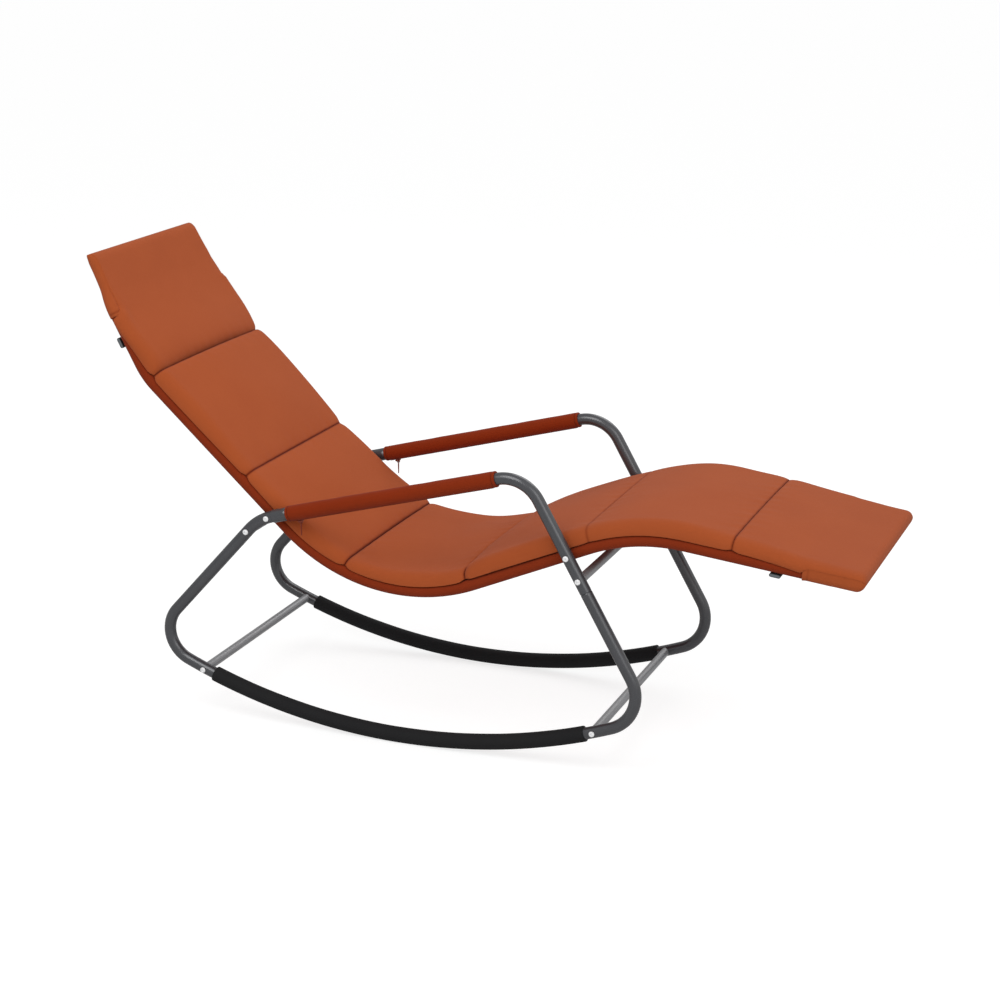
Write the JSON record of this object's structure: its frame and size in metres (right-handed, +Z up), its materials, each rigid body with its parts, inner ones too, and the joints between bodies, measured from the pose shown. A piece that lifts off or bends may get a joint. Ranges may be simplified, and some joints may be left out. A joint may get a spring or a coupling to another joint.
{
  "type": "rocking chaise lounge",
  "caption": "Rocking chaise lounge with bent tube side frames on curved runners, a wave shaped seat frame with a textile sling, a panelled cushion and padded zipped armrests.",
  "frame": {"origin": "on the floor, below the middle of the overall length and width", "axes": "+X towards the feet, along the overall length; +Y to the sitter's left; +Z up"},
  "size_m": [1.678, 0.533, 0.9787],
  "materials": {
    "frame": "satin",
    "bar": "satin",
    "foam": "matte",
    "zinc": "polished",
    "plastic": "matte",
    "cushion": "matte",
    "sling": "matte",
    "arm_cover": "matte",
    "zip": "satin"
  },
  "bodies": {
    "frame": {"left_rocker_tube": "frame", "left_arm_tube": "frame", "left_runner_sleeve": "foam", "left_armrest_foam": "foam", "left_armrest_cover": "arm_cover", "left_rear_rail_bolt": "zinc", "left_rear_bar_bolt": "zinc", "left_rear_foot_bolt": "zinc", "left_front_foot_bolt": "zinc", "left_knee_bar_bolt": "zinc", "left_front_rail_bolt": "zinc", "left_rear_cap_nut": "zinc", "left_rear_spacer": "plastic", "left_front_cap_nut": "zinc", "left_front_spacer": "plastic", "left_head_spreader_screw": "zinc", "left_foot_spreader_screw": "zinc", "right_rocker_tube": "frame", "right_arm_tube": "frame", "right_runner_sleeve": "foam", "right_armrest_foam": "foam", "right_armrest_cover": "arm_cover", "right_rear_rail_bolt": "zinc", "right_rear_bar_bolt": "zinc", "right_rear_foot_bolt": "zinc", "right_front_foot_bolt": "zinc", "right_knee_bar_bolt": "zinc", "right_front_rail_bolt": "zinc", "right_rear_cap_nut": "zinc", "right_rear_spacer": "plastic", "right_front_cap_nut": "zinc", "right_front_spacer": "plastic", "right_head_spreader_screw": "zinc", "right_foot_spreader_screw": "zinc", "rear_low_bar": "bar", "front_low_bar": "bar", "knee_bar": "bar", "rear_upper_bar": "bar", "back_frame": "frame", "leg_frame": "frame", "head_spreader": "plastic", "foot_spreader": "plastic", "sling": "sling", "cushion": "cushion", "head_pocket": "cushion", "foot_pocket": "cushion"},
    "left_slider": {"left_zip_slider": "zip"},
    "left_pull": {"left_zip_pull": "zip"},
    "right_slider": {"right_zip_slider": "zip"},
    "right_pull": {"right_zip_pull": "zip"}
  },
  "joints": [
    {"name": "left_zip_slide", "type": "slide", "parent": "frame", "child": "left_slider", "axis": [0.9663, 0, 0.2575], "range_m": [0, 0.42]},
    {"name": "left_zip_pull_swing", "type": "hinge", "parent": "left_slider", "child": "left_pull", "pos_m": [-0.3362, 0.25, 0.45625], "axis": [0, 1, 0], "range_deg": [-100, 70]},
    {"name": "right_zip_slide", "type": "slide", "parent": "frame", "child": "right_slider", "axis": [0.9663, 0, 0.2575], "range_m": [0, 0.42]},
    {"name": "right_zip_pull_swing", "type": "hinge", "parent": "right_slider", "child": "right_pull", "pos_m": [-0.3362, -0.25, 0.45625], "axis": [0, 1, 0], "range_deg": [-100, 70]}
  ]
}
